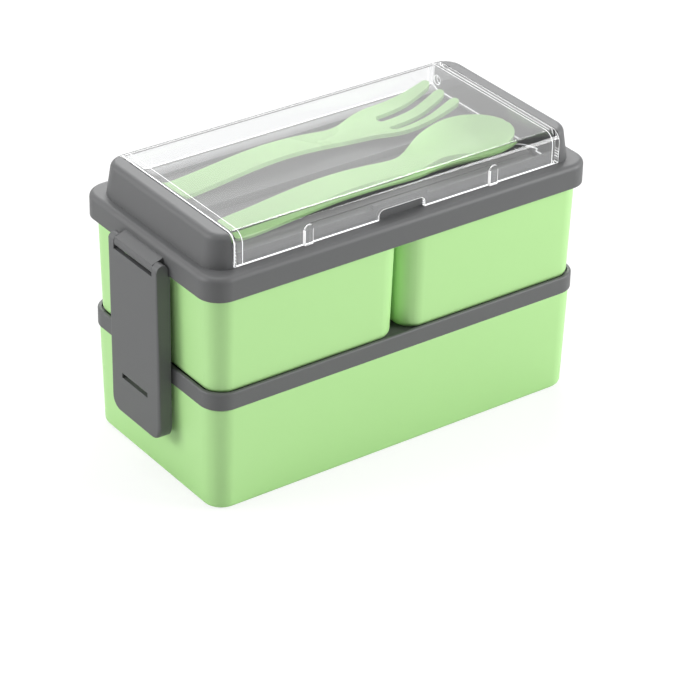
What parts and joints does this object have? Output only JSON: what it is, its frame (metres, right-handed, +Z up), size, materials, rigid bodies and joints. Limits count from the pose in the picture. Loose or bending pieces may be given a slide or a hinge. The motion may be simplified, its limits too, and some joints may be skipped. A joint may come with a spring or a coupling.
{
  "type": "bento lunch box",
  "caption": "Two-tier lunch box with a deep lower box, split upper boxes, side latches and a lid that holds cutlery under a clear hinged cover.",
  "frame": {"origin": "under the middle of the closed box, on the table", "axes": "+X along the length towards one latch, front towards -Y, +Z up"},
  "size_m": [0.2012, 0.0972, 0.1235],
  "materials": {
    "green_plastic": "satin light green polypropylene",
    "grey_plastic": "fine matt dark grey polypropylene",
    "silicone": "soft pale silicone",
    "clear_plastic": "polished clear plastic",
    "cutlery_plastic": "glossy light green plastic"
  },
  "bodies": {
    "lower": {"lower_box": "green_plastic"},
    "middle": {"mid_lid": "grey_plastic", "mid_lid_seal": "silicone"},
    "upper_left": {"upper_left_box": "green_plastic"},
    "upper_right": {"upper_right_box": "green_plastic"},
    "lid": {"top_lid": "grey_plastic", "upper_left_seal": "silicone", "upper_right_seal": "silicone"},
    "latch_left": {"left_latch": "grey_plastic"},
    "latch_right": {"right_latch": "grey_plastic"},
    "cover": {"cutlery_cover": "clear_plastic"},
    "spoon_body": {"spoon": "cutlery_plastic"},
    "fork_body": {"fork": "cutlery_plastic"}
  },
  "joints": [
    {"name": "mid_lid_lift", "type": "slide", "parent": "lower", "child": "middle", "axis": [0, 0, 1], "range_m": [0, 0.06]},
    {"name": "upper_left_lift", "type": "slide", "parent": "middle", "child": "upper_left", "axis": [0, 0, 1], "range_m": [0, 0.06]},
    {"name": "upper_right_lift", "type": "slide", "parent": "middle", "child": "upper_right", "axis": [0, 0, 1], "range_m": [0, 0.06]},
    {"name": "lid_lift", "type": "slide", "parent": "upper_left", "child": "lid", "axis": [0, 0, 1], "range_m": [0, 0.06]},
    {"name": "left_latch_hinge", "type": "hinge", "parent": "lid", "child": "latch_left", "pos_m": [-0.09795, 0, 0.1012], "axis": [0, 1, 0], "range_deg": [-0.8, 110]},
    {"name": "right_latch_hinge", "type": "hinge", "parent": "lid", "child": "latch_right", "pos_m": [0.09795, 0, 0.1012], "axis": [0, -1, 0], "range_deg": [-0.8, 110]},
    {"name": "cover_hinge", "type": "hinge", "parent": "lid", "child": "cover", "pos_m": [0, 0.0395, 0.1136], "axis": [-1, 0, 0], "range_deg": [0, 95]},
    {"name": "spoon_lift", "type": "slide", "parent": "lid", "child": "spoon_body", "axis": [0, 0, 1], "range_m": [0, 0.0185]},
    {"name": "fork_lift", "type": "slide", "parent": "lid", "child": "fork_body", "axis": [0, 0, 1], "range_m": [0, 0.0185]}
  ],
  "couplings": [
    {"joint": "upper_right_lift", "follows": "upper_left_lift", "ratio": 1},
    {"joint": "spoon_lift", "follows": "cover_hinge", "m_per_rad": 0.010856},
    {"joint": "fork_lift", "follows": "cover_hinge", "m_per_rad": 0.010856}
  ]
}
